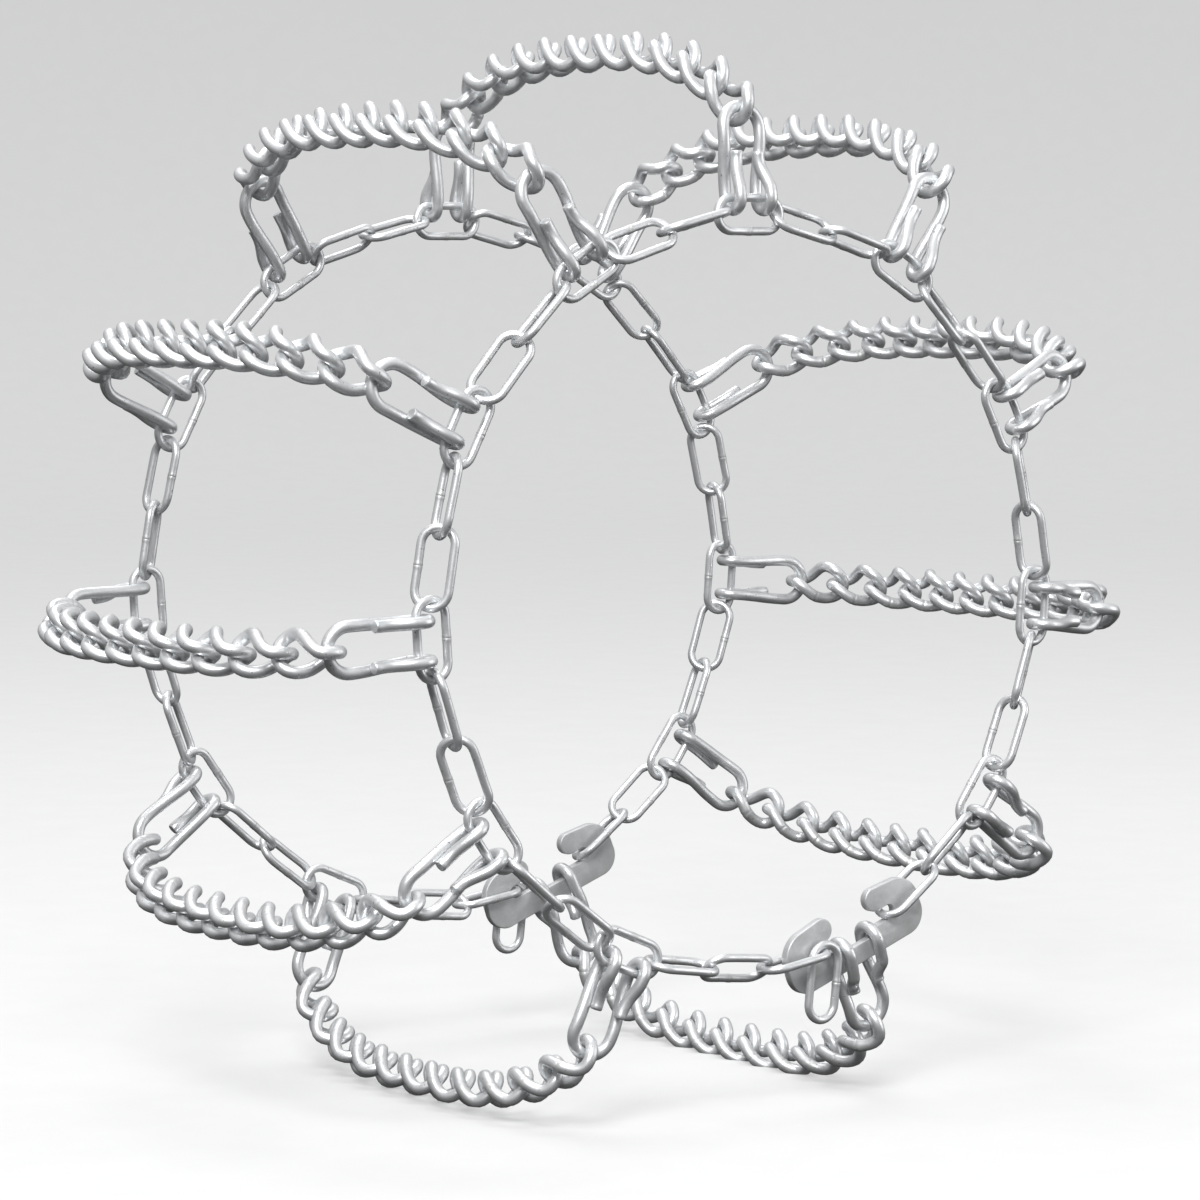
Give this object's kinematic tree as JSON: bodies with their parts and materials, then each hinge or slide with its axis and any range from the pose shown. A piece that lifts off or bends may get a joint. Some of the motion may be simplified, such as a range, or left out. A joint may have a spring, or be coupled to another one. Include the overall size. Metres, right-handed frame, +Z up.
{
  "type": "tire snow chains",
  "caption": "Ladder-type snow chain for a small wide tyre: rings of straight links at the sidewalls, twisted cross chains over the tread, bent-wire hooks, and claw plates that close the rings.",
  "frame": {"origin": "centre of the wheel that the chain lies on, midway between its two side rings", "axes": "+Y along the wheel's axle from the outer side ring to the inner one, +Z up, with the claw plates at the bottom"},
  "size_m": [0.5362, 0.2848, 0.5206],
  "materials": {
    "side_chain_wire": "bright galvanised",
    "cross_chain_wire": "bright galvanised, hardened",
    "hook_wire": "bright galvanised",
    "claw_plate_steel": "dull galvanised"
  },
  "bodies": {
    "station_1": {"outer_side_run_1": "side_chain_wire", "inner_side_run_1": "side_chain_wire", "outer_hook_1": "hook_wire", "inner_hook_1": "hook_wire"},
    "station_2": {"outer_side_run_2": "side_chain_wire", "inner_side_run_2": "side_chain_wire", "outer_hook_2": "hook_wire", "inner_hook_2": "hook_wire"},
    "station_3": {"outer_side_run_3": "side_chain_wire", "inner_side_run_3": "side_chain_wire", "outer_hook_3": "hook_wire", "inner_hook_3": "hook_wire"},
    "station_4": {"outer_side_run_4": "side_chain_wire", "inner_side_run_4": "side_chain_wire", "outer_hook_4": "hook_wire", "inner_hook_4": "hook_wire"},
    "station_5": {"outer_side_run_5": "side_chain_wire", "inner_side_run_5": "side_chain_wire", "outer_hook_5": "hook_wire", "inner_hook_5": "hook_wire"},
    "station_6": {"outer_side_run_6": "side_chain_wire", "inner_side_run_6": "side_chain_wire", "outer_hook_6": "hook_wire", "inner_hook_6": "hook_wire"},
    "station_8": {"outer_side_run_8": "side_chain_wire", "inner_side_run_8": "side_chain_wire", "outer_hook_8": "hook_wire", "inner_hook_8": "hook_wire"},
    "station_9": {"outer_side_run_9": "side_chain_wire", "inner_side_run_9": "side_chain_wire", "outer_hook_9": "hook_wire", "inner_hook_9": "hook_wire"},
    "station_10": {"outer_side_run_10": "side_chain_wire", "inner_side_run_10": "side_chain_wire", "outer_hook_10": "hook_wire", "inner_hook_10": "hook_wire"},
    "station_11": {"outer_side_run_11": "side_chain_wire", "inner_side_run_11": "side_chain_wire", "outer_hook_11": "hook_wire", "inner_hook_11": "hook_wire"},
    "loose_run": {"outer_loose_run": "side_chain_wire", "inner_loose_run": "side_chain_wire"},
    "claw_plate": {"outer_claw_plate": "claw_plate_steel", "inner_claw_plate": "claw_plate_steel", "outer_hook_7": "hook_wire", "inner_hook_7": "hook_wire"},
    "end_link": {"outer_end_link": "side_chain_wire", "inner_end_link": "side_chain_wire"},
    "cross_chain_1": {"cross_chain_1": "cross_chain_wire"},
    "cross_chain_2": {"cross_chain_2": "cross_chain_wire"},
    "cross_chain_3": {"cross_chain_3": "cross_chain_wire"},
    "cross_chain_4": {"cross_chain_4": "cross_chain_wire"},
    "cross_chain_5": {"cross_chain_5": "cross_chain_wire"},
    "cross_chain_6": {"cross_chain_6": "cross_chain_wire"},
    "cross_chain_7": {"cross_chain_7": "cross_chain_wire"},
    "cross_chain_8": {"cross_chain_8": "cross_chain_wire"},
    "cross_chain_9": {"cross_chain_9": "cross_chain_wire"},
    "cross_chain_10": {"cross_chain_10": "cross_chain_wire"},
    "cross_chain_11": {"cross_chain_11": "cross_chain_wire"}
  },
  "joints": [
    {"name": "ring_1_2", "type": "hinge", "parent": "station_1", "child": "station_2", "pos_m": [-0.01443, 0, 0.18112], "axis": [0, 1, 0], "range_deg": [0, 31.4]},
    {"name": "ring_2_3", "type": "hinge", "parent": "station_2", "child": "station_3", "pos_m": [-0.10669, 0, 0.14708], "axis": [0, 1, 0], "range_deg": [0, 31.4]},
    {"name": "ring_3_4", "type": "hinge", "parent": "station_3", "child": "station_4", "pos_m": [-0.16769, 0, 0.06995], "axis": [0, 1, 0], "range_deg": [0, 31.4]},
    {"name": "ring_4_5", "type": "hinge", "parent": "station_4", "child": "station_5", "pos_m": [-0.17958, 0, -0.02766], "axis": [0, 1, 0], "range_deg": [0, 31.4]},
    {"name": "ring_5_6", "type": "hinge", "parent": "station_5", "child": "station_6", "pos_m": [-0.13887, 0, -0.11717], "axis": [0, 1, 0], "range_deg": [0, 31.4]},
    {"name": "loose_run_hinge", "type": "hinge", "parent": "station_6", "child": "loose_run", "pos_m": [-0.05748, 0, -0.17236], "axis": [0, 1, 0], "range_deg": [0, 31.4]},
    {"name": "ring_1_11", "type": "hinge", "parent": "station_1", "child": "station_11", "pos_m": [0.08205, 0, 0.16212], "axis": [0, -1, 0], "range_deg": [0, 31.4]},
    {"name": "ring_11_10", "type": "hinge", "parent": "station_11", "child": "station_10", "pos_m": [0.1545, 0, 0.09563], "axis": [0, -1, 0], "range_deg": [0, 31.4]},
    {"name": "ring_10_9", "type": "hinge", "parent": "station_10", "child": "station_9", "pos_m": [0.18169, 0, 0.00113], "axis": [0, -1, 0], "range_deg": [0, 31.4]},
    {"name": "ring_9_8", "type": "hinge", "parent": "station_9", "child": "station_8", "pos_m": [0.15567, 0, -0.0937], "axis": [0, -1, 0], "range_deg": [0, 31.4]},
    {"name": "plate_hinge", "type": "hinge", "parent": "station_8", "child": "claw_plate", "pos_m": [0.08406, 0, -0.16109], "axis": [0, -1, 0], "range_deg": [0, 31.4]},
    {"name": "end_link_hinge", "type": "hinge", "parent": "claw_plate", "child": "end_link", "pos_m": [0.04481, 0, -0.17594], "axis": [0, -1, 0], "range_deg": [-10, 25]},
    {"name": "cross_swing_1", "type": "hinge", "parent": "station_1", "child": "cross_chain_1", "pos_m": [0, 0, 0.23203], "axis": [0, 1, 0], "range_deg": [-9, 9]},
    {"name": "cross_swing_2", "type": "hinge", "parent": "station_2", "child": "cross_chain_2", "pos_m": [-0.12089, 0, 0.19805], "axis": [0, 1, 0], "range_deg": [-9, 9]},
    {"name": "cross_swing_3", "type": "hinge", "parent": "station_3", "child": "cross_chain_3", "pos_m": [-0.20637, 0, 0.10606], "axis": [0, 1, 0], "range_deg": [-9, 9]},
    {"name": "cross_swing_4", "type": "hinge", "parent": "station_4", "child": "cross_chain_4", "pos_m": [-0.23141, 0, -0.01699], "axis": [0, 1, 0], "range_deg": [-9, 9]},
    {"name": "cross_swing_5", "type": "hinge", "parent": "station_5", "child": "cross_chain_5", "pos_m": [-0.18867, 0, -0.13507], "axis": [0, 1, 0], "range_deg": [-9, 9]},
    {"name": "cross_swing_6", "type": "hinge", "parent": "station_6", "child": "cross_chain_6", "pos_m": [-0.09066, 0, -0.21359], "axis": [0, 1, 0], "range_deg": [-9, 9]},
    {"name": "cross_swing_7", "type": "hinge", "parent": "claw_plate", "child": "cross_chain_7", "pos_m": [0.08276, 0, -0.21649], "axis": [0, 1, 0], "range_deg": [-9, 9]},
    {"name": "cross_swing_8", "type": "hinge", "parent": "station_8", "child": "cross_chain_8", "pos_m": [0.18867, 0, -0.13507], "axis": [0, 1, 0], "range_deg": [-9, 9]},
    {"name": "cross_swing_9", "type": "hinge", "parent": "station_9", "child": "cross_chain_9", "pos_m": [0.23141, 0, -0.01699], "axis": [0, 1, 0], "range_deg": [-9, 9]},
    {"name": "cross_swing_10", "type": "hinge", "parent": "station_10", "child": "cross_chain_10", "pos_m": [0.20637, 0, 0.10606], "axis": [0, 1, 0], "range_deg": [-9, 9]},
    {"name": "cross_swing_11", "type": "hinge", "parent": "station_11", "child": "cross_chain_11", "pos_m": [0.12089, 0, 0.19805], "axis": [0, 1, 0], "range_deg": [-9, 9]}
  ]
}
